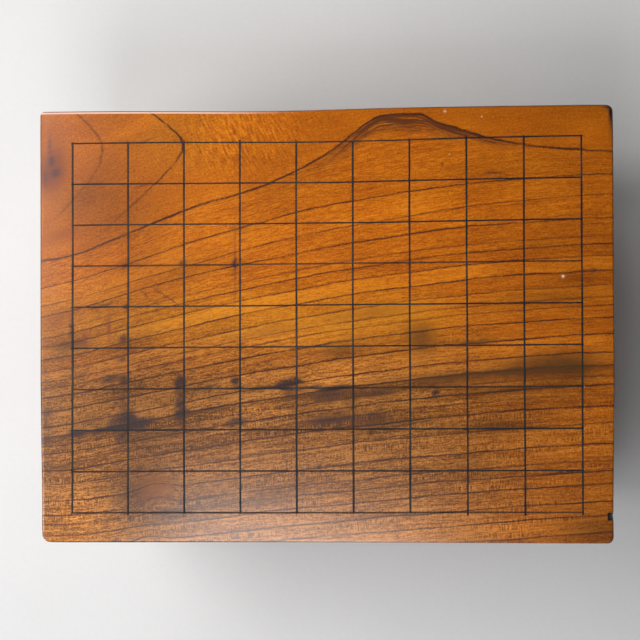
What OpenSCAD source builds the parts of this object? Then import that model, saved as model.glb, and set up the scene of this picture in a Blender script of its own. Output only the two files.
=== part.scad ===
// Floor-standing shogi board: a solid block with scribed and lacquered grid lines,
// on four carved gardenia-pod legs whose square tenons pull out of the underside.
// Millimetres, +Z up. Origin: middle of the footprint, at floor level. +X runs from player to player.

/* [Playing grid] */
// Length of one cell, from player to player
cell_length = 39.4; // [32:0.1:44]
// Width of one cell, across the board
cell_width = 28.8; // [26:0.1:40]
// Bare wood outside the grid at each player's end
end_margin = 22.7; // [8:0.1:30]
// Bare wood outside the grid along each side
side_margin = 21.9; // [8:0.1:30]
// Width of a lacquered line
line_width = 1.1; // [0.6:0.1:2]
// Thickness of the lacquer in its groove
lacquer_thickness = 0.5; // [0.3:0.05:1.2]
// How far the lacquer lies below the wood
lacquer_sink = 0.1; // [0.05:0.05:0.3]

/* [Block] */
// Thickness of the block
block_thickness = 121; // [80:1:185]
// Rounding of the top and bottom edges
edge_radius = 1.6; // [0.8:0.1:4]
// Rounding of the four upright corners
corner_radius = 3.2; // [2:0.1:10]

/* [Hollow under the block] */
// Side of the hollow's square mouth
hollow_side = 92; // [60:1:110]
// Depth of the hollow at the foot of its walls
hollow_depth = 22; // [12:1:40]
// How far each wall leans in from mouth to floor
hollow_lean = 3; // [1:0.5:8]
// Side of the flat on top of the pyramid left inside
peak_side = 9; // [4:0.5:20]
// How far the pyramid stops short of the underside
peak_drop = 4; // [2:0.5:8]

/* [Legs] */
// Height of a leg, from the floor to the underside
leg_height = 96; // [70:1:130]
// Radius over the ridges at the belly
belly_radius = 39; // [34:0.5:46]
// Radius of the neck that bears on the underside
neck_radius = 30; // [27:0.5:33]
// Radius at the ankle, the narrowest place
ankle_radius = 23; // [20:0.5:26]
// Radius of the toe
toe_radius = 27.5; // [26:0.5:32]
// Radius of the flat that stands on the floor
sole_radius = 25; // [21:0.5:25.5]
// Depth of the hollowed panels at the belly
panel_depth = 5; // [3:0.5:6.5]
// Ridges round a leg
ridge_count = 8; // [6:1:10]
// Wood between the belly and the block's side faces, seen from below
leg_inset = 9; // [3:0.5:20]

/* [Leg joint] */
// Side of the square tenon
tenon_side = 30; // [22:0.5:34]
// Length of the tenon
tenon_length = 32; // [20:1:45]
// Bevel round the end of the tenon
tenon_bevel = 2.5; // [1:0.5:4]
// Play between tenon and mortise on each side
tenon_play = 0.15; // [0.1:0.05:0.4]
// Space left past the end of the tenon
mortise_spare = 1.5; // [0.5:0.5:4]

/* [Hidden] */
cells = 9;
lines = cells + 1;

grid_length = cells * cell_length;
grid_width = cells * cell_width;
block_length = grid_length + 2 * end_margin;
block_width = grid_width + 2 * side_margin;
block_bottom = leg_height;
block_top = block_bottom + block_thickness;

groove_depth = lacquer_thickness + lacquer_sink;
groove_floor = block_top - groove_depth;
lap_thickness = lacquer_thickness / 2;

leg_x = block_length / 2 - leg_inset - belly_radius;
leg_y = block_width / 2 - leg_inset - belly_radius;
mortise_side = tenon_side + 2 * tenon_play;
mortise_depth = tenon_length + mortise_spare;

// How far cutting shapes reach past the faces that they open
cut_past = 1;
// Facets of each quarter-round on the block's corners and edges
corner_facets = 32;

// Heights on a leg, as shares of its height
toe_share = 0.035;
ankle_share = 0.17;
calf_share = 0.40;
belly_share = 0.66;
shoulder_share = 0.87;
// Radii between the named ones, as shares of the way from one to the next
calf_fullness = 0.42;
shoulder_fullness = 0.66;
// Depth of the panels away from the belly, as shares of their depth there
sole_panel_share = 0.22;
toe_panel_share = 0.30;
ankle_panel_share = 0.38;
calf_panel_share = 0.72;
shoulder_panel_share = 0.88;
neck_panel_share = 0.35;
// How quickly a panel falls away from its ridge: under 1 is a sharp ridge
ridge_sharpness = 0.8;
// Mesh of a leg: points round each panel, and rings between two heights
panel_points = 6;
rings_per_stretch = 3;

// A leg's outline from sole to neck: [height, radius over the ridges, depth of the panels]
leg_outline = [
    [0, sole_radius, sole_panel_share * panel_depth],
    [toe_share * leg_height, toe_radius, toe_panel_share * panel_depth],
    [ankle_share * leg_height, ankle_radius, ankle_panel_share * panel_depth],
    [calf_share * leg_height, between(ankle_radius, belly_radius, calf_fullness), calf_panel_share * panel_depth],
    [belly_share * leg_height, belly_radius, panel_depth],
    [shoulder_share * leg_height, between(neck_radius, belly_radius, shoulder_fullness),
        shoulder_panel_share * panel_depth],
    [leg_height, neck_radius, neck_panel_share * panel_depth]
];

// Each leg's name and the signs of its X and Y
legs = [
    ["leg_front_left", -1, -1],
    ["leg_front_right", 1, -1],
    ["leg_back_left", -1, 1],
    ["leg_back_right", 1, 1]
];

function between(from, to, share) = from + (to - from) * share;
function file_name(i) = str("file_line_", i);
function rank_name(i) = str("rank_line_", i);
function file_y(i) = (i - 1) * cell_width - grid_width / 2;
function rank_x(i) = (i - 1) * cell_length - grid_length / 2;

// The outline's point at a place along it, on one smooth curve through the heights above
function outline_height(i) = leg_outline[max(0, min(len(leg_outline) - 1, i))];
function smooth_curve(before, from, to, after, t) =
    (2 * from + (to - before) * t + (2 * before - 5 * from + 4 * to - after) * t * t
        + (3 * from - before - 3 * to + after) * t * t * t) / 2;
function outline_at(place) =
    let (i = floor(place))
    smooth_curve(outline_height(i - 1), outline_height(i), outline_height(i + 1), outline_height(i + 2), place - i);

// One ring of points round a leg, with a ridge at the start of every panel
function leg_ring(outline, points) = [
    for (k = [0:points - 1])
        let (angle = 360 * k / points)
        let (fall = pow(abs(sin(ridge_count * angle / 2)), ridge_sharpness))
        let (radius = outline[1] - outline[2] * fall)
        [radius * cos(angle), radius * sin(angle), outline[0]]
];

// A solid through rings of points that lie one above the other
module loft(rings) {
    round = len(rings[0]);
    last = len(rings) - 1;
    walls = [
        for (i = [0:last - 1], k = [0:round - 1])
            let (here = i * round + k, next = i * round + (k + 1) % round)
            each [[here, here + round, next], [next, here + round, next + round]]
    ];
    sole = [for (k = [0:round - 1]) k];
    crown = [for (k = [round - 1:-1:0]) last * round + k];
    polyhedron(points = [for (ring = rings) each ring], faces = concat(walls, [sole, crown]));
}

// A square prism whose side changes from one height to the other
module square_taper(low_side, low_z, high_side, high_z) {
    half = [low_side / 2, high_side / 2];
    height = [low_z, high_z];
    loft([for (i = [0:1]) [for (c = [[-1, -1], [1, -1], [1, 1], [-1, 1]])
        [c[0] * half[i], c[1] * half[i], height[i]]]]);
}

// A post with rounded ends for one upright corner of the block
module corner_post() {
    rotate_extrude($fn = corner_facets)
        intersection() {
            translate([0, block_bottom])
                square([corner_radius, block_thickness]);
            hull()
                for (z = [block_bottom + edge_radius, block_top - edge_radius])
                    translate([corner_radius - edge_radius, z])
                        circle(edge_radius, $fn = corner_facets);
        }
}

// The block before anything is cut into it
module rounded_block() {
    hull()
        for (sx = [-1, 1], sy = [-1, 1])
            translate([sx * (block_length / 2 - corner_radius), sy * (block_width / 2 - corner_radius), 0])
                corner_post();
}

// A box laid along one grid line, between two heights
module file_strip(i, low, high) {
    translate([-(grid_length + line_width) / 2, file_y(i) - line_width / 2, low])
        cube([grid_length + line_width, line_width, high - low]);
}

module rank_strip(i, low, high) {
    translate([rank_x(i) - line_width / 2, -(grid_width + line_width) / 2, low])
        cube([line_width, grid_width + line_width, high - low]);
}

// The square hollow in the underside, round the pyramid that is left standing in it
module hollow() {
    floor_side = hollow_side - 2 * hollow_lean;
    lean_past = hollow_lean * cut_past / hollow_depth;
    difference() {
        square_taper(hollow_side + 2 * lean_past, block_bottom - cut_past, floor_side, block_bottom + hollow_depth);
        square_taper(peak_side, block_bottom + peak_drop, floor_side, block_bottom + hollow_depth);
    }
}

module mortise(sx, sy) {
    translate([sx * leg_x - mortise_side / 2, sy * leg_y - mortise_side / 2, block_bottom - cut_past])
        cube([mortise_side, mortise_side, mortise_depth + cut_past]);
}

module block() {
    color([0.70, 0.36, 0.08])
        difference() {
            rounded_block();
            for (i = [1:lines]) {
                file_strip(i, groove_floor, block_top + cut_past);
                rank_strip(i, groove_floor, block_top + cut_past);
            }
            hollow();
            for (leg = legs)
                mortise(leg[1], leg[2]);
        }
}

// A rank line is drawn first, so that the file lines cross over it
module rank_line(i) {
    color([0.07, 0.05, 0.04])
        difference() {
            rank_strip(i, groove_floor, groove_floor + lacquer_thickness);
            for (j = [1:lines])
                file_strip(j, groove_floor + lap_thickness, block_top);
        }
}

module file_line(i) {
    color([0.07, 0.05, 0.04])
        difference() {
            file_strip(i, groove_floor, groove_floor + lacquer_thickness);
            for (j = [1:lines])
                rank_strip(j, groove_floor - cut_past, groove_floor + lap_thickness);
        }
}

// The square tenon on top of a leg, with a bevelled end
module tenon() {
    shank_top = leg_height + tenon_length - tenon_bevel;
    shank_bottom = leg_height - tenon_bevel;
    translate([-tenon_side / 2, -tenon_side / 2, shank_bottom])
        cube([tenon_side, tenon_side, shank_top - shank_bottom]);
    square_taper(tenon_side, shank_top, tenon_side - 2 * tenon_bevel, leg_height + tenon_length);
}

module leg(sx, sy) {
    stretches = len(leg_outline) - 1;
    rings = stretches * rings_per_stretch;
    color([0.55, 0.26, 0.06])
        translate([sx * leg_x, sy * leg_y, 0]) {
            loft([for (i = [0:rings]) leg_ring(outline_at(i / rings_per_stretch), ridge_count * panel_points)]);
            tenon();
        }
}

block();
for (leg = legs)
    leg(leg[1], leg[2]);
for (i = [1:lines]) {
    file_line(i);
    rank_line(i);
}
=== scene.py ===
import math

import bmesh
import bpy
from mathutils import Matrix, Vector, noise


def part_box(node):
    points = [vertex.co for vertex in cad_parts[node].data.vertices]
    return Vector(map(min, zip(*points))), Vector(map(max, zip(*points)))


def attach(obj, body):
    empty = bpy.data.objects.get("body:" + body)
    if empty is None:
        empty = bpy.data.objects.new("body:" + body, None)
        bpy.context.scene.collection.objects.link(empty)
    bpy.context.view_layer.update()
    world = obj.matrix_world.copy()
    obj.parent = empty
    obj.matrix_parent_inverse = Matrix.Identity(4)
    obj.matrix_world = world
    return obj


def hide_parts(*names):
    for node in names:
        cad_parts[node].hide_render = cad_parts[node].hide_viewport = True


# A floor-standing shogi board: one varnished plank with lacquered grid lines, on four carved legs.
# Metres, +X from player to player, +Z up. Patterns in the materials are worked out in millimetres.

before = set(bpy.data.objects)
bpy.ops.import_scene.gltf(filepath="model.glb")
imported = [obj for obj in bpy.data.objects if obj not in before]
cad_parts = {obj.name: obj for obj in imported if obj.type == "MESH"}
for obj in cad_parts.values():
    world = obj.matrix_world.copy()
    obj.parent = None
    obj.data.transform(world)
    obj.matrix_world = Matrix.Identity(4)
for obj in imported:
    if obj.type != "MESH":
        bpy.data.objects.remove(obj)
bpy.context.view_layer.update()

MM = 0.001

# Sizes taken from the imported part

block_low, block_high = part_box("block")
HALF_LENGTH = block_high.x
HALF_WIDTH = block_high.y
TOP = block_high.z
UNDERSIDE = block_low.z

LINE_COUNT = 10
RANK_NODES = [f"rank_line_{i + 1}" for i in range(LINE_COUNT)]
FILE_NODES = [f"file_line_{i + 1}" for i in range(LINE_COUNT)]
LEG_NODES = ["leg_front_left", "leg_front_right", "leg_back_left", "leg_back_right"]


def middle(node):
    low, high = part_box(node)
    return (low + high) / 2


RANK_X = [middle(node).x for node in RANK_NODES]
FILE_Y = [middle(node).y for node in FILE_NODES]
LINE_LOW, LINE_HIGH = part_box(FILE_NODES[0])
LINE_WIDTH = LINE_HIGH.y - LINE_LOW.y
LACQUER_TOP = LINE_HIGH.z
LACQUER_BOTTOM = LINE_LOW.z
GRID_HALF_LENGTH = LINE_HIGH.x
GRID_HALF_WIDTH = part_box(RANK_NODES[0])[1].y

LEG_CENTRES = {node: middle(node).xy for node in LEG_NODES}
TENON_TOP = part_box(LEG_NODES[0])[1].z

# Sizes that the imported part's boxes don't tell

EDGE_RADIUS = 1.6 * MM
TENON_HALF = 15 * MM
TENON_BEVEL = 2.5 * MM
TENON_PLAY = 0.15 * MM
MORTISE_HALF = TENON_HALF + TENON_PLAY
MORTISE_SPARE = 1.5 * MM
MORTISE_DEPTH = TENON_TOP - UNDERSIDE + MORTISE_SPARE
HOLLOW_HALF = 46 * MM
HOLLOW_FLOOR_HALF = 43 * MM
HOLLOW_DEPTH = 22 * MM
PEAK_HALF = 4.5 * MM
PEAK_DROP = 4 * MM
RIDGE_COUNT = 8
RIDGE_SHARPNESS = 0.8

# A leg's outline from sole to neck: share of its height, then millimetres:
# radius over the ridges, depth of the panels
LEG_OUTLINE = [
    (0.0, 25.0, 1.1),
    (0.035, 27.5, 1.5),
    (0.17, 23.0, 1.9),
    (0.40, 29.72, 3.6),
    (0.66, 39.0, 5.0),
    (0.87, 35.94, 4.4),
    (1.0, 30.0, 1.75),
]


# Mesh helpers


def new_piece(name, bm, material, body, nodes):
    """Turns a bmesh into a piece that stands for CAD nodes and rides on their body."""
    bmesh.ops.recalc_face_normals(bm, faces=bm.faces)
    mesh = bpy.data.meshes.new(name)
    bm.to_mesh(mesh)
    bm.free()
    piece = bpy.data.objects.new(name, mesh)
    bpy.context.scene.collection.objects.link(piece)
    mesh.materials.append(material)
    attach(piece, body)
    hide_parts(*nodes)


def shade_smooth(bm, sharp_degrees):
    """Smooth faces, with edges that turn more than the angle left sharp."""
    limit = math.radians(sharp_degrees)
    for face in bm.faces:
        face.smooth = True
    for edge in bm.edges:
        edge.smooth = len(edge.link_faces) == 2 and edge.calc_face_angle(0) < limit


def wave(x, y, z=0.0):
    """Smooth noise from -1 to 1 that is the same on every run."""
    return noise.noise(Vector((x, y, z)))


def bell(distance, reach):
    """1 at no distance, falling smoothly to 0 past the reach."""
    return math.exp(-((distance / reach) ** 2))


# Grid lines drawn by hand: they wander a little, and some run past the last crossing

FILE_TILT = 0.0043
FILE_SET_OVER = -0.3 * MM
FILE_BOW = 1.6 * MM
FILE_BOW_REACH = 80 * MM
FILE_BOW_START = 40 * MM
RANK_TILT = 0.0014
RANK_SET_OVER = 0.5 * MM
LINE_WANDER = 0.25 * MM
LINE_WANDER_LENGTH = 60 * MM
LINE_UNEVENNESS = 0.22
SLOW_UNEVENNESS_LENGTH = 25 * MM
FAST_UNEVENNESS_LENGTH = 4 * MM
RANK_WEIGHT = 1.02
FILE_WEIGHT = 0.80
FILE_OVERRUN = 0.3 * MM
LAST_FILE_OVERRUN = 2.4 * MM
GROOVE_SLOPE = 0.12 * MM
GROOVE_END_STEP = 0.4 * MM
GROOVE_DEPTH = TOP - LACQUER_BOTTOM - 0.05 * MM


def past_grid(x, y):
    """How far a place lies past the grid's ends and sides, as shares of the way to the block's edges."""
    past_end = max(0.0, abs(x) - GRID_HALF_LENGTH) / (HALF_LENGTH - GRID_HALF_LENGTH)
    past_side = max(0.0, abs(y) - GRID_HALF_WIDTH) / (HALF_WIDTH - GRID_HALF_WIDTH)
    return past_end, past_side


def laid(x, y):
    """Where a place on the face goes with the grid, which was laid a little out of square with the block."""
    past_end, past_side = past_grid(x, y)
    share = (1 - past_end) * (1 - past_side)
    towards_back = max(0.0, y - FILE_BOW_START) / (GRID_HALF_WIDTH - FILE_BOW_START)
    bow = FILE_BOW * bell(x, FILE_BOW_REACH) * towards_back
    return x + share * (RANK_SET_OVER + RANK_TILT * y), y + share * (FILE_SET_OVER + FILE_TILT * x - bow)


def line_shift(index, along):
    """How far a line's middle strays sideways at a place along it."""
    return LINE_WANDER * wave(along / LINE_WANDER_LENGTH, 7.3 * index, 1.7)


def line_half_width(index, along):
    """Half a line's width at a place along it."""
    slow = wave(along / SLOW_UNEVENNESS_LENGTH, 5.1 * index, 9.2)
    fast = wave(along / FAST_UNEVENNESS_LENGTH, 3.7 * index, 4.4)
    weight = RANK_WEIGHT if index < LINE_COUNT else FILE_WEIGHT
    return weight * LINE_WIDTH / 2 * (1 + LINE_UNEVENNESS * (slow + 0.6 * fast))


def rank_ends(index):
    """Where a rank line starts and stops: past the last file line at the front, close to it at the back."""
    front = (1.5 + 0.8 * wave(3.1 * index, 0.5)) * MM
    back = (0.5 + 0.6 * wave(2.3 * index, 8.5)) * MM
    return -GRID_HALF_WIDTH - front, GRID_HALF_WIDTH + max(back, 0)


def file_ends(index):
    """Where a file line starts and stops: the last one runs past the corner."""
    right = FILE_OVERRUN * (1 + wave(4.7 * index, 2.5))
    if index == LINE_COUNT - 1:
        right = LAST_FILE_OVERRUN
    return -GRID_HALF_LENGTH - FILE_OVERRUN, GRID_HALF_LENGTH + right


# The block

CHIP_Y = -132 * MM
CHIP_REACH = 2.4 * MM
CHIP_DEPTH = 3.2 * MM
CHIP_LIP = 1 * MM
CHIP_FADE = 3 * MM
CORNER_RADII = {
    "front left": 6.5 * MM,
    "front right": 4.6 * MM,
    "back left": 3.2 * MM,
    "back right": 4.6 * MM,
}
CORNER_WEAR = 1.4 * MM
CORNER_WEAR_REACH = 9 * MM
PLANED_LEFT_END = 1.1 * MM
PLANED_RIGHT_END = 1.5 * MM
PLANED_ENDS_START = 40 * MM
PLANED_ENDS_REACH = 80 * MM
PLANED_FRONT = 0.8 * MM
UNPLANED_FRONT_X = -190 * MM
UNPLANED_FRONT_REACH = 110 * MM
PLANED_BACK = 1.5 * MM
PLANED_BACK_X = -40 * MM
PLANED_BACK_REACH = 75 * MM
GRID_STEP = 5 * MM
CLOSEST_GRID_LINES = 0.06 * MM
EDGE_OFFSETS = [value * MM for value in (0, 0.25, 0.55, 0.9, 1.3, 1.8, 2.4, 3.2, 4.6)]


def grid_lines(half, marks):
    """Sorted places across the block: close together at both edges, on every mark, and filled in between."""
    firm = sorted({round(mark, 7) for mark in marks})
    edges = [sign * (half - offset) for offset in EDGE_OFFSETS for sign in (-1, 1)]
    places = list(firm)
    for edge in edges:
        if all(abs(edge - place) > CLOSEST_GRID_LINES for place in places):
            places.append(edge)
    places.sort()
    filled = [places[0]]
    for place in places[1:]:
        gap = place - filled[-1]
        count = max(1, math.ceil(gap / GRID_STEP - 0.2))
        start = filled[-1]
        filled.extend(start + gap * (i + 1) / count for i in range(count))
    return filled


def line_marks(centres):
    """Both edges of every groove, at the surface and at its floor."""
    half = LINE_WIDTH / 2
    return [c + side * offset for c in centres for side in (-1, 1) for offset in (half, half + GROOVE_SLOPE)]


def block_marks():
    """Grid lines along X and along Y that the block's shapes need."""
    hollow = [sign * half for half in (HOLLOW_HALF, HOLLOW_FLOOR_HALF, PEAK_HALF) for sign in (-1, 1)]
    xs = line_marks(RANK_X)
    ys = line_marks(FILE_Y)
    shared = hollow + [mark for mark in xs + ys if abs(mark) < HOLLOW_HALF]
    legs = LEG_CENTRES.values()
    xs += shared + [leg.x + side * MORTISE_HALF for leg in legs for side in (-1, 1)]
    ys += shared + [leg.y + side * MORTISE_HALF for leg in legs for side in (-1, 1)]
    ys += [CHIP_Y + step * CHIP_REACH / 2 for step in range(-4, 5)]
    overruns = [0.9 * MM + step * GROOVE_END_STEP for step in range(6)]
    xs += [sign * (GRID_HALF_LENGTH + past) for past in overruns for sign in (-1, 1)]
    ys += [sign * (GRID_HALF_WIDTH + past) for past in overruns for sign in (-1, 1)]
    return xs, ys


def surface_quads(xs, ys, zs):
    """Grid indices of the corners of every quad on the outside of a box."""
    nx, ny, nz = len(xs) - 1, len(ys) - 1, len(zs) - 1
    for i in range(nx):
        for j in range(ny):
            yield (i, j, nz), (i + 1, j, nz), (i + 1, j + 1, nz), (i, j + 1, nz)
            yield (i, j, 0), (i, j + 1, 0), (i + 1, j + 1, 0), (i + 1, j, 0)
    for i in range(nx):
        for k in range(nz):
            yield (i, 0, k), (i + 1, 0, k), (i + 1, 0, k + 1), (i, 0, k + 1)
            yield (i, ny, k), (i, ny, k + 1), (i + 1, ny, k + 1), (i + 1, ny, k)
    for j in range(ny):
        for k in range(nz):
            yield (0, j, k), (0, j, k + 1), (0, j + 1, k + 1), (0, j + 1, k)
            yield (nx, j, k), (nx, j + 1, k), (nx, j + 1, k + 1), (nx, j, k + 1)


def hollow_depth(x, y):
    """Depth of the hollow in the underside at a place: sloped walls round a pyramid with a flat top."""
    reach = max(abs(x), abs(y))
    if reach >= HOLLOW_HALF:
        return 0.0
    if reach >= HOLLOW_FLOOR_HALF:
        return HOLLOW_DEPTH * (HOLLOW_HALF - reach) / (HOLLOW_HALF - HOLLOW_FLOOR_HALF)
    share = max(0.0, (reach - PEAK_HALF) / (HOLLOW_FLOOR_HALF - PEAK_HALF))
    return PEAK_DROP + (HOLLOW_DEPTH - PEAK_DROP) * share


def in_mortise(x, y):
    return any(
        abs(x - leg.x) < MORTISE_HALF and abs(y - leg.y) < MORTISE_HALF
        for leg in LEG_CENTRES.values()
    )


def rounded_in_plan(x, y):
    """A place in plan with the block's corners rounded, its distance from the outline and the way out."""
    radius = CORNER_RADII[f"{'back' if y > 0 else 'front'} {'right' if x > 0 else 'left'}"]
    out_x = abs(x) - (HALF_LENGTH - radius)
    out_y = abs(y) - (HALF_WIDTH - radius)
    if out_x > 0 and out_y > 0:
        reach = max(out_x, out_y)
        way = Vector((math.copysign(out_x, x), math.copysign(out_y, y))).normalized()
        centre = Vector((math.copysign(HALF_LENGTH - radius, x), math.copysign(HALF_WIDTH - radius, y)))
        return centre + way * reach, radius - reach, way
    if out_x - radius > out_y - radius:
        return Vector((x, y)), HALF_LENGTH - abs(x), Vector((math.copysign(1, x), 0))
    return Vector((x, y)), HALF_WIDTH - abs(y), Vector((0, math.copysign(1, y)))


def planed_off(x, y):
    """How far planing by hand has taken the ends and the sides of the block inside the true rectangle."""
    towards_front = min(1.0, max(0.0, (-y - PLANED_ENDS_START) / PLANED_ENDS_REACH))
    ends = (PLANED_LEFT_END if x < 0 else PLANED_RIGHT_END) * towards_front
    if y > 0:
        sides = PLANED_BACK * bell(x - PLANED_BACK_X, PLANED_BACK_REACH)
    else:
        sides = PLANED_FRONT * (1 - bell(x - UNPLANED_FRONT_X, UNPLANED_FRONT_REACH))
    past_end, past_side = past_grid(x, y)
    return Vector((math.copysign(ends * past_end, x), math.copysign(sides * past_side, y)))


def edge_radius_at(x, y, z):
    """The edge's rounding at a place: uneven from handling, and more at the worn corner."""
    from_corner = math.hypot(x - HALF_LENGTH, y - HALF_WIDTH)
    worn = CORNER_WEAR * bell(from_corner, CORNER_WEAR_REACH)
    slow = 0.35 * MM * wave(x / (50 * MM), y / (50 * MM), z / (80 * MM))
    fast = 0.2 * MM * wave(x / (7 * MM), y / (7 * MM), z / (20 * MM))
    return EDGE_RADIUS + worn + slow + fast


def shaped(x, y, z):
    """Where a grid point of the plain box ends up on the worn block."""
    plan, inside, way = rounded_in_plan(x, y)
    below = min(TOP - z, z - UNDERSIDE)
    radius = edge_radius_at(x, y, z)
    out = radius - inside
    up = radius - below
    if out > 0 and up > 0:
        reach = max(out, up)
        length = math.hypot(out, up)
        inward = out - reach * out / length
        down = up - reach * up / length
        plan = plan - way * inward
        z += -down if z > (TOP + UNDERSIDE) / 2 else down
    depth = TOP - z
    chip = bell(y - CHIP_Y, CHIP_REACH) * bell(max(0.0, depth - CHIP_LIP), CHIP_FADE)
    if x > 0 and inside < CHIP_DEPTH and depth < GRID_STEP:
        z -= CHIP_DEPTH * chip * (1 - inside / CHIP_DEPTH)
    plan -= planed_off(x, y)
    return Vector((plan.x, plan.y, z))


def groove_point(i, j, xs, ys, groove_columns, groove_rows):
    """A top point moved with the groove that it belongs to, and how far below the wood it lies."""
    x, y = xs[i], ys[j]
    sunk = False
    if i in groove_columns:
        line, side, floor = groove_columns[i]
        low, high = rank_ends(line)
        if low - GROOVE_END_STEP <= y <= high + GROOVE_END_STEP:
            reach = line_half_width(line, y) + (0 if floor else GROOVE_SLOPE)
            x = RANK_X[line] + line_shift(line, y) + side * reach
            sunk = sunk or floor
    if j in groove_rows:
        line, side, floor = groove_rows[j]
        low, high = file_ends(line)
        if low - GROOVE_END_STEP <= xs[i] <= high + GROOVE_END_STEP:
            reach = line_half_width(line + LINE_COUNT, xs[i]) + (0 if floor else GROOVE_SLOPE)
            y = FILE_Y[line] + line_shift(line + LINE_COUNT, xs[i]) + side * reach
            sunk = sunk or floor
    return x, y, GROOVE_DEPTH if sunk else 0.0


def groove_indices(places, centres):
    """Which grid lines are edges of which groove: line, side, and whether at the groove's floor."""
    found = {}
    half = LINE_WIDTH / 2
    for line, centre in enumerate(centres):
        for side in (-1, 1):
            for offset, floor in ((half, True), (half + GROOVE_SLOPE, False)):
                target = centre + side * offset
                index = min(range(len(places)), key=lambda i: abs(places[i] - target))
                found[index] = (line, side, floor)
    return found


def cut_mortises(bm):
    """Pulls the rim of each square hole in the underside up into a closed pocket."""
    rims = [edge for edge in bm.edges if edge.is_boundary]
    made = bmesh.ops.extrude_edge_only(bm, edges=rims)["geom"]
    for vert in made:
        if isinstance(vert, bmesh.types.BMVert):
            vert.co.z += MORTISE_DEPTH
    ends = [edge for edge in made if isinstance(edge, bmesh.types.BMEdge)]
    bmesh.ops.holes_fill(bm, edges=ends, sides=0)


def build_block(material):
    mark_xs, mark_ys = block_marks()
    xs = grid_lines(HALF_LENGTH, mark_xs)
    ys = grid_lines(HALF_WIDTH, mark_ys)
    centre_z = (TOP + UNDERSIDE) / 2
    zs = [centre_z + z for z in grid_lines((TOP - UNDERSIDE) / 2, [])]
    columns = groove_indices(xs, RANK_X)
    rows = groove_indices(ys, FILE_Y)
    bm = bmesh.new()
    verts = {}

    def vert_at(key):
        if key not in verts:
            i, j, k = key
            x, y, sunk = xs[i], ys[j], 0.0
            if k == len(zs) - 1:
                x, y, sunk = groove_point(i, j, xs, ys, columns, rows)
                x, y = laid(x, y)
            place = shaped(x, y, zs[k])
            place.z -= sunk
            if k == 0:
                place.z += hollow_depth(x, y)
            verts[key] = bm.verts.new(place)
        return verts[key]

    for corners in surface_quads(xs, ys, zs):
        mid_x = sum(xs[c[0]] for c in corners) / 4
        mid_y = sum(ys[c[1]] for c in corners) / 4
        on_underside = all(c[2] == 0 for c in corners)
        if on_underside and in_mortise(mid_x, mid_y):
            continue
        found = [vert_at(corner) for corner in corners]
        if on_underside and max(abs(mid_x), abs(mid_y)) < HOLLOW_HALF:
            if mid_x * mid_y < 0:
                found = found[1:] + found[:1]
            bm.faces.new(found[:3])
            bm.faces.new((found[2], found[3], found[0]))
        else:
            bm.faces.new(found)
    cut_mortises(bm)
    shade_smooth(bm, sharp_degrees=32)
    new_piece("board_block", bm, material, "board", ["block"])


# The lacquered lines

LINE_STEP = 3 * MM
LACQUER_CROWN = 0.06 * MM
# Across a line from edge to edge: share of its half width, share of the crown's height
LINE_PROFILE = [(-1.0, 0.0), (-0.6, 0.75), (0.0, 1.0), (0.6, 0.75), (1.0, 0.0)]
# Where a rank line starts to duck under a file line and where it has ducked, in widths from the crossing
LAP_START = 0.7
LAP_FULL = 0.5
LAP_OFFSETS = (-LAP_START, -LAP_FULL, 0, LAP_FULL, LAP_START)


def line_places(low, high, crossings):
    """Places along a line: even steps, with extra ones round each crossing."""
    count = math.ceil((high - low) / LINE_STEP)
    places = {round(low + (high - low) * i / count, 6) for i in range(count + 1)}
    for crossing in crossings:
        places |= {round(crossing + offset * LINE_WIDTH, 6) for offset in LAP_OFFSETS}
    return sorted(place for place in places if low <= place <= high)


def lap_dip(place, crossings):
    """How far a rank line ducks under the file lines that cross it."""
    lap = (LACQUER_TOP - LACQUER_BOTTOM) / 2
    nearest = min(abs(place - crossing) for crossing in crossings)
    ducked = (LAP_START - nearest / LINE_WIDTH) / (LAP_START - LAP_FULL)
    return lap * min(1.0, max(0.0, ducked))


def build_line(name, index, centre, ends, crossings, along_x, material):
    """A closed strip of lacquer with a low crown, laid in its groove."""
    bm = bmesh.new()
    rings = []
    for place in line_places(*ends, crossings):
        half = line_half_width(index, place)
        middle_of_line = centre + line_shift(index, place)
        dip = 0.0 if along_x else lap_dip(place, crossings)
        ring = []
        for across, crown in LINE_PROFILE:
            side = middle_of_line + across * half
            height = LACQUER_TOP + (crown - 1) * LACQUER_CROWN - dip
            ring.append((side, height))
        ring.append((middle_of_line + half, LACQUER_BOTTOM))
        ring.append((middle_of_line - half, LACQUER_BOTTOM))
        points = [(*(laid(place, s) if along_x else laid(s, place)), z) for s, z in ring]
        rings.append([bm.verts.new(point) for point in points])
    count = len(rings[0])
    for first, second in zip(rings, rings[1:]):
        for k in range(count):
            bm.faces.new((first[k], first[(k + 1) % count], second[(k + 1) % count], second[k]))
    bm.faces.new(rings[0])
    bm.faces.new(rings[-1])
    shade_smooth(bm, sharp_degrees=40)
    new_piece(f"lacquer_{name}", bm, material, "board", [name])


def build_lines(material):
    for i, node in enumerate(RANK_NODES):
        build_line(node, i, RANK_X[i], rank_ends(i), FILE_Y, False, material)
    for i, node in enumerate(FILE_NODES):
        build_line(node, i + LINE_COUNT, FILE_Y[i], file_ends(i), RANK_X, True, material)


# The legs

LEG_POINTS = 128
RINGS_PER_STRETCH = 9
RIDGE_SOFTNESS = 0.05


def smooth_curve(before, start, end, after, t):
    """One value of a smooth curve that runs through start and end."""
    return (
        2 * start
        + (end - before) * t
        + (2 * before - 5 * start + 4 * end - after) * t * t
        + (3 * start - before - 3 * end + after) * t * t * t
    ) / 2


def leg_section(place):
    """Height share, radius and panel depth at a place along the outline, counted in stations."""
    last = len(LEG_OUTLINE) - 1
    i = min(int(place), last - 1)
    stations = [LEG_OUTLINE[max(0, min(last, n))] for n in (i - 1, i, i + 1, i + 2)]
    return [smooth_curve(*values, place - i) for values in zip(*stations)]


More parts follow.
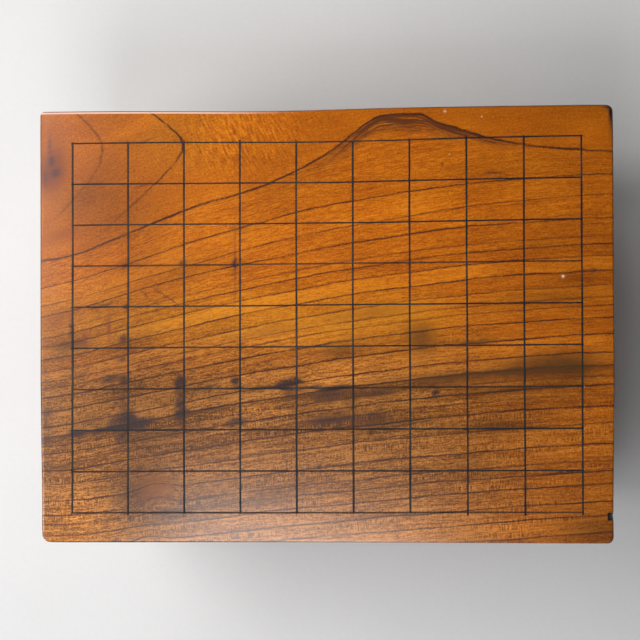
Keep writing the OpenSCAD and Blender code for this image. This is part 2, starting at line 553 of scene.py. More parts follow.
def leg_ring(height, radius, depth):
    """Points round a leg, whose panels fall away from soft ridges."""
    ring = []
    for k in range(LEG_POINTS):
        angle = 2 * math.pi * k / LEG_POINTS
        swing = math.sqrt(math.sin(RIDGE_COUNT * angle / 2) ** 2 + RIDGE_SOFTNESS**2)
        reach = (radius - depth * swing**RIDGE_SHARPNESS) * MM
        ring.append(Vector((reach * math.cos(angle), reach * math.sin(angle), height * UNDERSIDE)))
    return ring


def square_ring(half, z):
    """As many points round a square as round a leg."""
    ring = []
    for k in range(LEG_POINTS):
        angle = 2 * math.pi * k / LEG_POINTS
        reach = half / max(abs(math.cos(angle)), abs(math.sin(angle)))
        ring.append(Vector((reach * math.cos(angle), reach * math.sin(angle), z)))
    return ring


def build_leg(node, material):
    centre = LEG_CENTRES[node].to_3d()
    stretches = len(LEG_OUTLINE) - 1
    places = [i / RINGS_PER_STRETCH for i in range(stretches * RINGS_PER_STRETCH + 1)]
    rings = [leg_ring(*leg_section(place)) for place in places]
    rings.append(square_ring(TENON_HALF, UNDERSIDE))
    rings.append(square_ring(TENON_HALF, TENON_TOP - TENON_BEVEL))
    rings.append(square_ring(TENON_HALF - TENON_BEVEL, TENON_TOP))
    bm = bmesh.new()
    loops = [[bm.verts.new(centre + point) for point in ring] for ring in rings]
    for first, second in zip(loops, loops[1:]):
        for k in range(LEG_POINTS):
            n = (k + 1) % LEG_POINTS
            bm.faces.new((first[k], first[n], second[n], second[k]))
    bm.faces.new(loops[0])
    bm.faces.new(loops[-1])
    shade_smooth(bm, sharp_degrees=35)
    new_piece(f"carved_{node}", bm, material, node, [node])


# Patterns written as formulas


class Field:
    """A value in a material's node tree, so that a pattern can be written as a formula."""

    def __init__(self, tree, socket):
        self.tree = tree
        self.socket = socket

    def math(self, operation, *terms):
        node = self.tree.nodes.new("ShaderNodeMath")
        node.operation = operation
        for socket, term in zip(node.inputs, terms):
            feed(socket, term)
        return Field(self.tree, node.outputs[0])

    def vector_math(self, operation, output, *terms):
        node = self.tree.nodes.new("ShaderNodeVectorMath")
        node.operation = operation
        for socket, term in zip(node.inputs, (self, *terms)):
            feed(socket, term)
        return Field(self.tree, node.outputs[output])

    def __add__(self, other):
        return self.math("ADD", self, other)

    def __sub__(self, other):
        return self.math("SUBTRACT", self, other)

    def __rsub__(self, other):
        return self.math("SUBTRACT", other, self)

    def __mul__(self, other):
        return self.math("MULTIPLY", self, other)

    def __truediv__(self, other):
        return self.math("DIVIDE", self, other)

    def __rtruediv__(self, other):
        return self.math("DIVIDE", other, self)

    def __abs__(self):
        return self.math("ABSOLUTE", self)

    __radd__ = __add__
    __rmul__ = __mul__

    def times_plus(self, factor, extra):
        return self.math("MULTIPLY_ADD", self, factor, extra)

    def at_most(self, other):
        return self.math("MINIMUM", self, other)

    def softly_at_most(self, other, blend):
        return self.math("SMOOTH_MIN", self, other, blend)

    def at_least(self, other):
        return self.math("MAXIMUM", self, other)

    def above(self, limit):
        return self.math("GREATER_THAN", self, limit)

    def root(self):
        return self.math("SQRT", self.at_least(0.0))

    def fraction(self):
        return self.math("FRACT", self)

    def falloff(self):
        """1 where the value is 0, falling smoothly to 0 as it grows: e to the power of minus the value."""
        return self.math("POWER", 1 / math.e, self)

    def bell(self, centre, reach):
        """1 at the centre, falling smoothly to 0 past the reach."""
        away = self.times_plus(1 / reach, -centre / reach)
        return (away * away).falloff()

    def ease(self, low, high, start=0.0, end=1.0):
        """Eases from start to end as the value goes from low to high."""
        node = self.tree.nodes.new("ShaderNodeMapRange")
        node.interpolation_type = "SMOOTHSTEP"
        feed(node.inputs["Value"], self)
        for name, value in (("From Min", low), ("From Max", high), ("To Min", start), ("To Max", end)):
            node.inputs[name].default_value = value
        return Field(self.tree, node.outputs["Result"])


def feed(socket, term):
    """Sets a socket from a field, a colour or a number."""
    if isinstance(term, Field):
        term.tree.links.new(term.socket, socket)
    elif socket.type == "RGBA":
        socket.default_value = (*term, 1.0)
    else:
        socket.default_value = term


class Pattern:
    """A material's node tree, with the object's coordinates in millimetres."""

    def __init__(self, name):
        self.material = bpy.data.materials.new(name)
        self.material.use_nodes = True
        self.tree = self.material.node_tree
        self.shader = self.tree.nodes["Principled BSDF"]
        place = self.tree.nodes.new("ShaderNodeTexCoord").outputs["Object"]
        split = self.tree.nodes.new("ShaderNodeSeparateXYZ")
        self.tree.links.new(place, split.inputs[0])
        self.x, self.y, self.z = (Field(self.tree, out) / MM for out in split.outputs)

    def vector(self, x, y, z):
        """Three values joined."""
        join = self.tree.nodes.new("ShaderNodeCombineXYZ")
        for socket, term in zip(join.inputs, (x, y, z)):
            feed(socket, term)
        return Field(self.tree, join.outputs[0])

    def noise(self, x, y, z, detail=2.0, roughness=0.5):
        """Noise round 0, about from -0.5 to 0.5, whose features are one unit across."""
        node = self.tree.nodes.new("ShaderNodeTexNoise")
        feed(node.inputs["Vector"], self.vector(x, y, z))
        node.inputs["Scale"].default_value = 1.0
        node.inputs["Detail"].default_value = detail
        node.inputs["Roughness"].default_value = roughness
        return Field(self.tree, node.outputs["Fac"]) - 0.5

    def mix(self, share, first, second):
        """The first colour where the share is 0, the second where it is 1."""
        node = self.tree.nodes.new("ShaderNodeMix")
        node.data_type = "RGBA"
        feed(node.inputs["Factor"], share)
        feed(node.inputs[6], first)
        feed(node.inputs[7], second)
        return Field(self.tree, node.outputs[2])

    def multiply(self, colour, factor):
        """A colour times a value."""
        node = self.tree.nodes.new("ShaderNodeVectorMath")
        node.operation = "SCALE"
        feed(node.inputs[0], colour)
        feed(node.inputs["Scale"], factor)
        return Field(self.tree, node.outputs[0])

    def finish(self, colour, roughness, height, bump_depth, coating):
        """Sends the pattern to the shader. The height is in millimetres times the bump depth."""
        feed(self.shader.inputs["Base Color"], colour)
        feed(self.shader.inputs["Roughness"], roughness)
        bump = self.tree.nodes.new("ShaderNodeBump")
        bump.inputs["Strength"].default_value = 1.0
        bump.inputs["Distance"].default_value = bump_depth * MM
        feed(bump.inputs["Height"], height)
        self.tree.links.new(bump.outputs["Normal"], self.shader.inputs["Normal"])
        for name, value in coating.items():
            feed(self.shader.inputs[name], value)
        return self.material


# The plank's wood, with places in millimetres

END_X = HALF_LENGTH / MM
SIDE_Y = HALF_WIDTH / MM
FACE_Z = TOP / MM
PITH_DEPTH = 220
DEEP_RING_STEP = 9
RING_LINE_WIDTH = 0.55
RING_CHANGE = 0.8
RING_CLIMB = 50.5
RING_CLIMB_EASING = 27.3
RING_SPREAD = 0.0834
RING_SPREAD_EASING = 0.0637
MIDDLE_RING = 227.5
FLARE_X = -205
FLARE_REACH = 22
FLARE_HEIGHT = 5
BURL_X = -118
FLAME_X = 52
FLAME_REACH = 69
FLAME_HEIGHT = 39

# Year rings down the middle of the face, counted from the pith's side:
# place in millimetres, darkness of its line, brightness of the wood after it
YEAR_RINGS = [
    (145, 0.75, 0.05),
    (162, 0.55, 0),
    (174, 0.7, -0.03),
    (186, 0.4, 0),
    (191.5, 0.65, -0.09),
    (199.5, 0.6, 0.09),
    (209.5, 0.75, -0.06),
    (219.5, 0.55, 0.1),
    (227.5, 0.45, 0.05),
    (233, 0.5, 0.02),
    (241, 0.7, -0.03),
    (252.5, 0.8, 0.06),
    (264.5, 0.65, 0.1),
    (272.8, 0.8, -0.08),
    (280.5, 0.35, 0.06),
    (286.5, 0.7, 0.02),
    (293, 0.3, -0.1),
    (300.5, 0.75, 0),
    (312, 0.45, 0.06),
    (326, 0.65, 0),
    (337, 0.5, -0.03),
    (344, 0.5, 0.01),
    (353, 0.6, 0.05),
    (364.5, 0.6, 0.05),
    (374, 0.5, 0.1),
    (386, 0.45, 0),
]


def ring_place(x, y):
    """The ring coordinate of a place on the face, in millimetres: it grows towards the front edge."""
    t = x / END_X
    climb = t * RING_CLIMB - t * t * RING_CLIMB_EASING
    spread = t * RING_SPREAD - t * t * RING_SPREAD_EASING + 1
    from_flare = (x - FLARE_X) / FLARE_REACH
    flare = FLARE_HEIGHT / (from_flare * from_flare + 1)
    return (climb + flare - y + MIDDLE_RING) / spread


# Hooked rings near the left end: x and y of the tip, width, darkness
HOOKS = [
    (-98.5, 126.5, 14, 0.75),
    (-155.4, 124, 28, 0.4),
]

# Dark dirt and ink worked into the grain: x, y, reach along the grain, reach across it, strength
STAINS = [
    (-174, -75, 7, 3, 0.85),
    (-154, -73, 14, 2.2, 0.65),
    (-147, -67, 8, 6, 0.6),
    (-137, -64, 6, 6, 0.75),
    (-128, -68, 12, 5, 0.9),
    (-141, -52, 4, 10, 0.55),
    (-148, -46, 1.6, 6, 0.5),
    (-142, -79, 5, 5, 0.6),
    (-101, -62, 5, 8, 0.8),
    (-100, -52, 3.5, 8, 0.55),
    (-101, -39, 4.5, 6, 0.85),
    (-61.5, -38.5, 3.2, 3.2, 1),
    (-61, -67, 9, 3.6, 0.85),
    (-83, -58, 16, 1.8, 0.55),
    (-24, -39.5, 10, 3, 0.9),
    (-24, -47, 6, 7, 0.5),
    (-80, -43, 9, 1.5, 0.5),
    (-62, -43.5, 9, 1.5, 0.6),
    (-45, -43.5, 9, 1.6, 0.7),
    (-30, -43, 9, 1.6, 0.7),
    (-11, -43, 10, 1.6, 0.7),
    (8, -43.5, 10, 1.6, 0.5),
    (4, -48, 18, 6, 0.65),
    (38, -47, 18, 4, 0.52),
    (2, -66, 20, 6, 0.58),
    (36, -64, 16, 6, 0.48),
    (-141, -9, 4, 4, 0.75),
    (-142, -23, 5, 4, 0.5),
    (-151, -37, 9, 3.5, 0.6),
    (-140, -38, 4, 5, 0.6),
    (-178, -2, 2.6, 9, 0.6),
    (-157, 14, 13, 1.5, 0.6),
    (-139, 14, 3.5, 3, 0.7),
    (-139, 43, 4, 4, 0.6),
    (-99, 44, 4, 3, 0.55),
    (-62, 44, 3, 3.5, 0.75),
    (118, 105, 10, 1.5, 0.6),
    (-123, 130.5, 8, 1.5, 0.5),
    (-126, 99, 8, 1.6, 0.5),
    (182, 37, 10, 1.3, 0.6),
    (162, -102, 24, 1.3, 0.7),
    (77, -46.5, 3, 2.5, 0.9),
    (-4, -98.5, 1.9, 1.6, 1),
    (63, -120, 1.6, 1.5, 0.6),
    (106, -120, 1.2, 1.2, 0.5),
    (-61, -147, 2.2, 1.8, 0.7),
    (82, 111, 1.2, 2.5, 0.6),
]

# Knots and purple streaks near the left end: same columns
KNOTS = [
    (-193, 127, 1.6, 10, 0.5),
    (-191.5, 116, 2, 4, 0.9),
    (-189, 108, 3, 3, 1),
    (-196, 104, 2.5, 7, 0.5),
    (-195, -61, 6, 3.5, 0.5),
    (-195, -71, 5, 2.5, 0.4),
    (-196, -79, 5, 3, 0.5),
    (-62, 42, 0.9, 26, 0.45),
]

# Olive smudges, where the varnish has darkened: same columns
SMUDGES = [
    (68, -9, 10, 11, 0.7),
    (160, -27, 26, 8, 1.1),
    (152, -32, 34, 2.5, 0.5),
    (135, -31.5, 60, 1.5, 0.9),
    (118, -35, 26, 4, 0.45),
    (80, -38, 24, 5, 0.6),
    (106, -12, 14, 2, 0.7),
    (12, -17, 30, 5, 0.35),
    (35, 9, 35, 4, 0.4),
    (-40, -5, 25, 4, 0.4),
    (107, -103, 15, 2.5, 0.35),
    (-40, -122, 20, 4, 0.45),
    (-143, -122, 8, 4, 0.35),
]

# Red-brown drips and the flush of colour round the knot: same columns
DRIPS = [
    (-168.5, -9, 2, 7, 0.7),
    (-151, -1, 1.4, 12, 0.6),
    (-191, 112, 9, 24, 0.75),
    (-186, 64, 14, 5, 0.35),
    (-186, 4, 14, 7, 0.35),
]

# Lighter and darker places in the wood: same columns, with a strength below 0 for darker
PATCHES = [
    (-165, -95, 30, 11, 0.35),
    (-165, -128, 28, 11, 0.25),
    (-38, -57, 22, 4.5, 0.4),
    (2, -37, 26, 8, 0.62),
    (88, -58, 26, 4, 0.25),
    (192, -60, 16, 10, 0.3),
    (168, -14, 30, 6, 0.2),
    (-42, -9, 24, 5, 0.28),
    (-60, -34, 14, 5, 0.24),
    (-130, 142, 16, 6, 0.35),
    (-74, 130, 11, 13, 0.24),
    (-125, 115, 12, 16, 0.15),
    (183, 130, 16, 12, 0.22),
    (138, 139, 14, 7, 0.15),
    (172, -88, 28, 6, 0.18),
    (152, -109, 16, 5, 0.2),
    (60, -97, 18, 8, 0.15),
    (8, -120, 16, 10, 0.15),
    (60, -142, 20, 6, 0.38),
    (132, -139, 18, 6, 0.36),
    (110, 82, 45, 7, 0.1),
    (180, 84, 20, 6, 0.12),
    (-191, 110, 10, 14, -0.48),
    (-170, 90, 12, 12, -0.28),
    (-58, 67, 10, 6, -0.22),
    (-60, 41, 9, 6, -0.25),
    (-35, 93, 35, 14, -0.15),
    (-20, 120, 20, 8, -0.15),
    (-180, 10, 18, 5, -0.2),
    (-178, -14, 18, 7, -0.6),
    (-138, -12, 16, 6, -0.38),
    (-92, -15, 14, 4, -0.2),
    (-172, -33, 10, 5, -0.28),
    (-165, -67, 12, 6, -0.35),
    (-197, -68, 6, 8, -0.25),
    (-110, -75, 26, 5, -0.55),
    (-94, -46, 18, 4, -0.46),
    (-133, -77, 12, 6, -0.28),
    (-56, -46, 12, 3, -0.22),
    (19, -54, 6, 4, -0.4),
    (45, -70, 24, 5, -0.42),
    (118, -70, 26, 6, -0.55),
    (172, -34, 14, 8, -0.5),
    (130, -28, 16, 4, -0.3),
    (128, -45, 44, 4, -0.6),
    (64, -8, 12, 9, -0.36),
    (12, -19, 10, 9, -0.32),
    (-10, -24, 8, 6, 0.28),
    (150, 18, 40, 6, -0.36),
    (34, 75, 14, 7, 0.18),
    (172, 32, 20, 5, -0.18),
    (148, 55, 16, 4, -0.2),
    (-154, 14, 12, 4, -0.22),
    (100, -96, 14, 5, -0.25),
    (-130, -116, 15, 12, -0.42),
    (-106, -132, 20, 5, -0.66),
    (-76, -122, 16, 6, -0.22),
    (188, -137, 20, 8, -0.33),
    (115, 108, 70, 12, -0.12),
    (-95, 40, 22, 9, -0.3),
    (-150, 49, 14, 7, 0.26),
    (-135, 43, 12, 4, -0.22),
]

# Scratches: from x, y to x, y
SCRATCHES = [
    (-129, 25.5, -124, 21.3),
    (-119, 26.2, -103, 15.7),
]

# Pale specks where the varnish has gone: x, y, radius, strength
SPECKS = [
    (165, 33, 0.9, 1),
    (84.5, 148, 0.8, 0.6),
    (110, 144, 0.6, 0.5),
    (87.5, 118, 0.5, 0.4),
]

# Dark, middle and light wood
ORANGE_WOOD = ((0.26, 0.052, 0.0005), (0.46, 0.112, 0.001), (0.66, 0.195, 0.005))
AMBER_WOOD = ((0.24, 0.064, 0.0008), (0.44, 0.138, 0.002), (0.64, 0.23, 0.008))
BROWN_WOOD = ((0.085, 0.027, 0.003), (0.23, 0.074, 0.006), (0.43, 0.165, 0.03))
BURL_WOOD = (0.18, 0.05, 0.004)
FLAME_WOOD = (0.075, 0.02, 0.006)
RING_LINE = (0.045, 0.012, 0.004)
BARE_WOOD = (0.4, 0.22, 0.1)

# Marks and wear, and a pale colour for painted highlights along the edges
DRIP_RED = (0.17, 0.032, 0.01)
KNOT_PURPLE = (0.06, 0.02, 0.022)
SMUDGE_OLIVE = (0.058, 0.025, 0.006)
STAIN_BLACK = (0.018, 0.01, 0.012)
SPECK_PALE = (0.72, 0.58, 0.42)
RIM_BROWN = (0.05, 0.013, 0.004)
OUTLINE_BROWN = (0.05, 0.015, 0.006)
CHAR_BLACK = (0.008, 0.006, 0.006)
# Pale colour painted along the back and front edges as a highlight, standing in for the varnish's reflection
PAINTED_HIGHLIGHT_PALE = (0.8, 0.52, 0.42)


def add_blots(p, along, across, blots):
    """The sum of soft blots, each with its own reach along the grain and across it."""
    place = p.vector(along, across, 0)
    total = 0
    for x, y, reach_along, reach_across, strength in blots:
        scale = (1 / reach_along, 1 / reach_across, 0)
        centre = (-x / reach_along, -ring_place(x, y) / reach_across, 0)
        away = place.vector_math("MULTIPLY_ADD", "Vector", scale, centre)
        blot = away.vector_math("DOT_PRODUCT", "Value", away).falloff()
        total = blot.times_plus(strength, total)
    return total


def scratch(x, y, from_x, from_y, to_x, to_y, width=0.5):
    """1 along a straight scratch, 0 away from it."""
    length = math.hypot(to_x - from_x, to_y - from_y)
    way_x, way_y = (to_x - from_x) / length, (to_y - from_y) / length
    along = (x - from_x) * way_x + (y - from_y) * way_y
    across = (x - from_x) * way_y - (y - from_y) * way_x
    return across.bell(0, width) * along.ease(-1, 1.5) * along.ease(length + 1, length - 1.5)


def wood_tone(p, light, colours):
    """Dark, middle or light wood as the value goes from -1 through 0 to 1."""
    dark, plain, pale = colours
    colour = p.mix((light + 1).at_least(0).at_most(1), dark, plain)
    return p.mix(light.at_least(0).at_most(1), colour, pale)


# Steps of the plank's wood: each leaves fields in the pattern for the steps after it


def lay_rings(p):
    """The ring coordinate on the face, then down into the plank round the pith."""
    x, y, depth = p.x, p.y, p.depth
    wander = p.noise(x / 60, y / 22, depth / 40, 2) * 3
    p.ripple = p.noise(x / 9, y / 5, depth / 9, 1) * 1.2
    even = ring_place(x, y)
    p.even = even
    p.burl = x.bell(BURL_X, 13) * y.bell(-116, 11)
    bulge = x.bell(-123, 12) * y.bell(-149, 8)
    squeeze = even.ease(173, 163) * x.ease(0, -110)
    squeeze = squeeze + even.bell(145, 12) * x.ease(-100, -150)
    stretch = even.bell(174, 7) * x.bell(-115, 60) * 2.2
    stretch = stretch + even.bell(161, 6) * x.ease(30, 200) * 4.5
    flat = even + wander + p.ripple + p.burl * 6 + bulge * 4 - squeeze * 3 + stretch
    square = flat * flat - depth * (2 * PITH_DEPTH) + depth * depth
    p.ring = square.root()
    p.radius = (square + PITH_DEPTH**2).root()


def draw_rings(p):
    """A dark line along each ring, and the tone of the wood between them."""
    ring = p.ring
    p.lines = 0
    p.tone = 0
    reached = 0
    for place, darkness, brightness in YEAR_RINGS:
        p.lines = ring.bell(place, RING_LINE_WIDTH).times_plus(darkness, p.lines)
        step = ring.ease(place - RING_CHANGE, place + RING_CHANGE)
        p.tone = step.times_plus(brightness - reached, p.tone)
        reached = brightness
    below_face = ring.ease(70, 40) * p.depth.ease(0.5, 3)
    deep = (p.radius / DEEP_RING_STEP).fraction()
    p.lines = p.lines + deep.bell(0.5, 0.07) * below_face * 0.5
    p.tone = p.tone + (deep - 0.5) * below_face * 0.15


def draw_flame(p):
    """The flame near the back edge: a ring that climbs to a blunt peak, filled with dark late wood."""
    x = p.x
    lobe = x.times_plus(1 / FLAME_REACH, -FLAME_X / FLAME_REACH)
    lobe = 1 / (lobe * lobe + 1)
    rise = lobe * lobe * FLAME_HEIGHT - x / 80 + 20 - (x - 100).at_least(0) / 38
    rise = rise + x.bell(-85, 30) * 2.8 - x.bell(-175, 28) * 3.5 - x.bell(80, 12) * 3
    below = p.ring - YEAR_RINGS[0][0] + rise.softly_at_most(61 - x * 0.13, 6)
    strata = p.noise(x / 25, below / 0.8, p.depth / 20, 2, 0.6)
    fill = below.ease(17, 1) * x.bell(45, 42) + below.ease(6, 1) * x.bell(98, 25)
    p.filled = below.ease(-0.6, 0.6) * fill * (strata * 6 + 1.2)
    p.lines = p.lines + below.bell(0, 0.8) * 0.85
    p.heart = below.ease(1, -5)


def draw_hooks(p):
    """Hooked rings that show on the face only."""
    x, y = p.x, p.y
    for tip_x, tip_y, width, darkness in HOOKS:
        rise = (y - tip_y) * 1.3 + abs(y - tip_y) * 0.15
        hook = (rise * rise + width * width).root() + x - (tip_x + width) + p.ripple * 1.5
        near = y.ease(tip_y - 65, tip_y - 35) * y.ease(tip_y - 12, tip_y + 12, 0.8, 1.35)
        p.lines = p.lines + hook.bell(0, 0.95) * near * p.on_face * darkness


def break_lines(p):
    """Breaks the ring lines up into pores; they are stronger in the front half."""
    x, ring, depth = p.x, p.ring, p.depth
    pores = p.noise(x / 1.9, ring / 0.8, depth / 2, 2, 0.7)
    gaps = p.noise(x / 30, ring / 9, depth / 15, 1)
    p.front_half = p.y.ease(15, -60)
    strength = (pores * 2.4 + gaps * 1.8 + 1).at_least(0).at_most(1.5)
    p.lines = p.lines * strength * (p.front_half * 0.35 + 1)


def grow_grain(p):
    """Streaks, fibres, mottle and ray flecks, and how light they leave the wood; plainer in the flame."""
    x, y, ring, depth = p.x, p.y, p.ring, p.depth
    p.streak = p.noise(x / 40, ring / 2.4, depth / 20, 3, 0.6)
    p.fibre = p.noise(x / 6, ring / 0.9, depth / 3, 2, 0.65)
    p.mottle = p.noise(x / 1.5, y / 1.2, depth / 1.5, 2, 0.7)
    p.cloud = p.noise(x / 45, y / 25, depth / 40, 2)
    band = p.noise(x / 80, ring / 6, depth / 30, 1).ease(0, 0.16)
    fleck = p.noise(x / 0.75, y / 5.5, depth / 2, 1, 0.5)
    fleck = fleck * y.ease(-30, -75) * (band * 0.75 + 0.25) * p.on_face
    curl = p.noise(x / 1.8 + y / 4, y / 7, depth / 3, 1)
    curl = curl * x.bell(-60, 45) * y.ease(95, 125)
    brown = (y + p.cloud * 40).ease(14, -52) * x.ease(50, 190, 1, 0.35)
    p.brown = brown * (1 - p.burl * 0.4)
    glow = x.bell(-90, 35) * y.bell(65, 35) + x.bell(-20, 110) * y.bell(12, 28)
    along = p.streak * (p.front_half * 0.6 + 2.1)
    along = along + p.fibre * x.ease(190, -190, 1.1, 1.75) * 2.4
    rough = p.mottle * (p.front_half * 0.4 + 2.2) * x.ease(190, -190, 1.1, 1.4)
    rough = rough * (p.on_face * 0.6 + 0.4)
    grain = p.tone * 3.2 + along * (1 - p.heart * 0.6) + rough + fleck * 4.4 + curl * 3.4
    p.light = grain * (p.brown * 0.25 + 1) + p.cloud * 1.2 + glow * 0.3


def face_shade(p):
    """Lighter and darker areas of the face: darker at the ends, lighter along the front edge."""
    x, y = p.x, p.y
    patches = add_blots(p, x, p.even, PATCHES) * p.on_face
    shade = (0.96 - x.bell(-135, 42) * 0.19) * (patches + 1).at_least(0.4)
    shade = shade * x.ease(-200, -170, 0.9, 1) * x.ease(60, 195, 0.92, 0.71)
    back_right = y.ease(115, 145) * x.ease(-40, 20)
    back_left = x.bell(-155, 40) * y.bell(82, 35)
    front = y.ease(-105, -148) * x.ease(150, 40)
    front_left = x.ease(-135, -175) * y.ease(-95, -130)
    round_burl = x.bell(-120, 24) * y.bell(-112, 18)
    front_right = x.ease(150, 195) * y.ease(-128, -145)
    shade = shade * (1 - back_right * 0.12) * (1 - back_left * 0.25)
    shade = shade * (front * 0.25 + 1) * (front_left * 0.3 + 1)
    return shade * (1 - round_burl * 0.3) * (1 - front_right * 0.35)


def colour_wood(p):
    """Orange at the back, amber across the middle, brown towards the front, with dark ring lines."""
    x, y, light = p.x, p.y, p.light
    shade = face_shade(p)
    amber = y.bell(2, 24) * x.ease(140, 40) * 0.9
    amber = amber + x.bell(-100, 40) * y.ease(95, 125) * 0.5
    colour = p.mix(amber, wood_tone(p, light, ORANGE_WOOD), wood_tone(p, light, AMBER_WOOD))
    colour = p.mix(p.brown, colour, wood_tone(p, light, BROWN_WOOD))
    colour = p.multiply(colour, shade)
    burl = x.bell(BURL_X, 12) * y.bell(-113, 8) * p.on_face
    colour = p.mix(burl * 0.75, colour, BURL_WOOD)
    colour = p.mix(p.filled.at_least(0).at_most(0.93), colour, FLAME_WOOD)
    p.colour = p.mix((p.lines * 1.2).at_most(0.97), colour, RING_LINE)


def paint(p, share, colour):
    """Lays a colour over the wood."""
    p.colour = p.mix(share, p.colour, colour)


def add_marks(p):
    """Drips, scratches, knots, smudges, stains and specks."""
    x, y, even = p.x, p.y, p.even
    ragged_x = x + p.noise(x / 9, y / 6, 3, 4, 0.65) * 8
    ragged_ring = even + p.noise(x / 8, y / 4, 8, 4, 0.65) * 6
    broken = (p.mottle * 3 + p.streak * 2.5 + p.fibre * 2 + 1).at_least(0) * p.on_face
    drip = add_blots(p, x, even, DRIPS) * broken
    for ends in SCRATCHES:
        drip = drip + scratch(x, y, *ends) * 0.9 * p.on_face
    paint(p, drip.at_most(0.8), DRIP_RED)
    knot = add_blots(p, x, even, KNOTS) * broken
    paint(p, knot.at_most(0.85), KNOT_PURPLE)
    smudge = add_blots(p, ragged_x, ragged_ring, SMUDGES) * broken
    paint(p, (smudge * 0.75).at_most(0.85), SMUDGE_OLIVE)
    p.stain = add_blots(p, ragged_x, ragged_ring, STAINS) * broken
    paint(p, p.stain.ease(0.12, 0.9) * 0.93, STAIN_BLACK)
    speck = 0
    for speck_x, speck_y, radius, strength in SPECKS:
        speck = x.bell(speck_x, radius) * y.bell(speck_y, radius) * strength + speck
    paint(p, (speck * p.on_face).at_most(0.9), SPECK_PALE)


def add_wear(p):
    """Varnish built up dark along the edges, a blackened corner and a chip."""
    x, y, depth = p.x, p.y, p.depth
    inside = (END_X - abs(x)).at_most(SIDE_Y - abs(y))
    p.inside = inside
    rim = inside.ease(1.6, 0.2) * depth.ease(8, 1) + depth.ease(1, 3) * 0.25
    paint(p, (rim * (p.mottle * 2 + 0.65)).at_least(0).at_most(0.9), RIM_BROWN)
    corner = x.bell(END_X, 5) * y.bell(SIDE_Y, 14) * inside.ease(4.5, 2)
    chip = abs(y - CHIP_Y / MM).ease(3, 2.3) * x.above(0)
    chip = chip * inside.ease(6.2, 5.4) * depth.ease(9, 5)
    scuff = x.bell(END_X, 4) * y.bell(-SIDE_Y, 7) * inside.ease(4, 1.5)
    p.black = (corner * 1.5 + scuff * 0.9 + chip).at_most(1)
    paint(p, p.black, CHAR_BLACK)


def outline_edges(p):
    """Painted highlights just inside the back and front edges, standing in for the varnish's reflection, and
    a dark outline round them.
    """
    x, y, depth = p.x, p.y, p.depth
    planed = x.bell(PLANED_BACK_X / MM, PLANED_BACK_REACH / MM) * (PLANED_BACK / MM)
    from_back = SIDE_Y - planed - y
    # Painted highlight: a pale line just inside the back edge towards the left, standing in for the
    # varnish's reflection
    painted_highlight_back = from_back.ease(0.5, 0.9) * from_back.ease(2.3, 1.6) * x.ease(-10, -90) * p.on_face
    paint(p, painted_highlight_back * 0.8, PAINTED_HIGHLIGHT_PALE)
    # Painted highlight: a weaker pale line on the rounding of the front edge
    rounding = depth.ease(0.03, 0.15) * depth.ease(0.8, 0.45)
    painted_highlight_front = rounding * y.ease(-144, -146) * x.bell(10, 90)
    paint(p, painted_highlight_front * 0.4, PAINTED_HIGHLIGHT_PALE)
    outline = from_back.ease(0.9, 0.4) * p.on_face + depth.ease(0.5, 1) * depth.ease(2.8, 1.6)
    paint(p, outline.at_most(1) * 0.75, OUTLINE_BROWN)


def bare_underside(p):
    """Bare wood inside the hollow and the mortises, and on the underside."""
    p.bare = p.depth.ease(84, 88) * p.inside.ease(2, 5)
    paint(p, p.bare * 0.8, p.multiply(BARE_WOOD, p.light * 0.45 + 1))


def varnish(p):
    """Sends the wood to the shader under a clear coat that is worn off along the left edge."""
    worn = p.bare * 0.35 + p.stain.at_most(1) * 0.1 + p.black * 0.3
    roughness = p.fibre * 0.15 + p.mottle * 0.2 + worn + 0.5
    height = p.fibre * 0.8 + p.mottle * 0.5 - p.lines * 0.6 + p.cloud * 0.5
    left_edge = p.x.ease(-END_X + 2.6, -END_X + 1)
    coat = {"Specular IOR Level": 0.05, "Coat Weight": 1 - left_edge * 0.9, "Coat Roughness": 0.2}
    return p.finish(p.colour, roughness, height, 0.04, coat)


def board_wood():
    p = Pattern("board_wood")
    p.depth = FACE_Z - p.z
    p.on_face = p.depth.ease(3, 0.5)
    lay_rings(p)
    draw_rings(p)
    draw_flame(p)
    draw_hooks(p)
    break_lines(p)
    grow_grain(p)
    colour_wood(p)
    add_marks(p)
    add_wear(p)
    outline_edges(p)
    bare_underside(p)
    return varnish(p)


def leg_wood():
    p = Pattern("leg_wood")
    x, y, z = p.x, p.y, p.z
    wander = p.noise(x / 30, y / 30, z / 60, 2) * 8
    ring = ((x * x + y * y).root() * 0.35 + x * 0.6 + y * 0.3 + wander) / 6
    tone = ring.fraction()
    line = tone.bell(0.5, 0.08)
    fibre = p.noise(x / 0.7, y / 0.7, z / 9, 3, 0.6)
    mottle = p.noise(x / 1.5, y / 1.5, z / 3, 2, 0.6)
    colour = p.mix(tone, (0.42, 0.115, 0.01), (0.3, 0.078, 0.008))
    colour = p.multiply(colour, (fibre * 0.6 + mottle * 0.5 + 1).at_least(0.2))
    colour = p.mix((line * (fibre + 0.6)).at_most(0.7), colour, (0.08, 0.022, 0.006))
    # Darker towards the sole
    towards_sole = z.ease(12, 0)
    colour = p.mix(towards_sole * 0.6, colour, (0.045, 0.025, 0.015))
    bare = z.ease(UNDERSIDE / MM - 0.5, UNDERSIDE / MM + 0.5)
    colour = p.mix(bare * 0.8, colour, (0.38, 0.2, 0.09))
    roughness = fibre * 0.12 + mottle * 0.12 + bare * 0.3 + 0.36
    height = fibre * 0.6 - line * 0.6 + mottle * 0.4
    return p.finish(colour, roughness, height, 0.05, {"Coat Weight": 0.3, "Coat Roughness": 0.25})


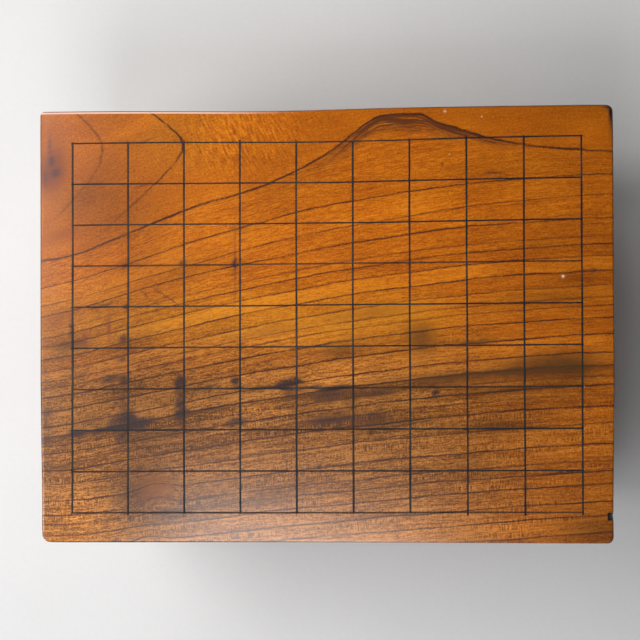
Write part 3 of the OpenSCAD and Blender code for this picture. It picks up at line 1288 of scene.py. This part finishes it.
def lacquer():
    p = Pattern("lacquer")
    wear = p.noise(p.x / 3, p.y / 3, p.z, 3, 0.7)
    patch = p.noise(p.x / 25, p.y / 25, p.z, 2)
    rubbed = p.x.ease(90, 0) * p.y.ease(-60, 20) * 0.25
    worn = (wear * 2 + patch * 2.5 + rubbed + 0.15).at_least(0).at_most(1)
    colour = p.mix(worn, (0.004, 0.006, 0.009), (0.04, 0.028, 0.022))
    roughness = wear * 0.3 + 0.6
    return p.finish(colour, roughness, wear, 0.03, {"Specular IOR Level": 0.25})


# Stage: floor, light and camera

FLOOR_HALF = 6.0


def build_floor():
    bm = bmesh.new()
    bmesh.ops.create_grid(bm, x_segments=8, y_segments=8, size=FLOOR_HALF)
    mesh = bpy.data.meshes.new("floor")
    bm.to_mesh(mesh)
    bm.free()
    floor = bpy.data.objects.new("floor", mesh)
    bpy.context.scene.collection.objects.link(floor)
    p = Pattern("floor")
    cloud = p.noise(p.x / 160.0, p.y / 160.0, p.z, 3.0)
    grain = p.noise(p.x / 4.0, p.y / 4.0, p.z, 2.0)
    colour = p.multiply((0.64, 0.64, 0.645), cloud * 0.10 + grain * 0.05 + 1.0)
    mesh.materials.append(p.finish(colour, grain * 0.1 + 0.65, grain, 0.05, {"Specular IOR Level": 0.3}))


def add_area_light(name, place, target, width, height, watts, colour):
    light = bpy.data.lights.new(name, "AREA")
    light.shape = "RECTANGLE"
    light.size = width
    light.size_y = height
    light.energy = watts
    light.color = colour
    lamp = bpy.data.objects.new(name, light)
    bpy.context.scene.collection.objects.link(lamp)
    lamp.location = place
    lamp.rotation_euler = (Vector(target) - Vector(place)).to_track_quat("-Z", "Y").to_euler()


def build_lights():
    face = (0, 0, TOP)
    add_area_light("key", (-0.96, 0.1, 1.2), face, 1.0, 1.0, 23, (1.0, 0.99, 0.97))
    add_area_light("front", (-0.145, -0.51, 1.25), (-0.05, -0.1, TOP), 0.40, 0.5, 6.2, (0.95, 0.97, 1.0))
    add_area_light("back", (-0.8, 1.1, 0.8), face, 0.8, 0.5, 4, (1.0, 0.97, 0.96))
    world = bpy.data.worlds.new("studio")
    world.use_nodes = True
    tree = world.node_tree
    background = tree.nodes["Background"]
    background.inputs["Color"].default_value = (1, 1, 1, 1)
    split = tree.nodes.new("ShaderNodeSeparateXYZ")
    tree.links.new(tree.nodes.new("ShaderNodeTexCoord").outputs["Generated"], split.inputs[0])
    height = Field(tree, split.outputs["Z"])
    feed(background.inputs["Strength"], height.ease(0.15, 0.75, 0.45, 0.05))
    bpy.context.scene.world = world


PICTURE_WIDTH = 640
SENSOR_WIDTH = 36.0
FOCAL_PIXELS = 1441.6
CAMERA_PLACE = (0.0566, -0.0138, 1.2171)
CAMERA_TURN_DEGREES = (0.987, 3.4, -0.206)


def build_camera():
    data = bpy.data.cameras.new("camera")
    data.sensor_width = SENSOR_WIDTH
    data.lens = FOCAL_PIXELS / PICTURE_WIDTH * SENSOR_WIDTH
    camera = bpy.data.objects.new("camera", data)
    bpy.context.scene.collection.objects.link(camera)
    camera.location = CAMERA_PLACE
    camera.rotation_euler = [math.radians(angle) for angle in CAMERA_TURN_DEGREES]
    bpy.context.scene.camera = camera


build_block(board_wood())
build_lines(lacquer())
leg_material = leg_wood()
for leg_node in LEG_NODES:
    build_leg(leg_node, leg_material)
build_floor()
build_lights()
build_camera()
bpy.context.scene.view_settings.view_transform = "Standard"
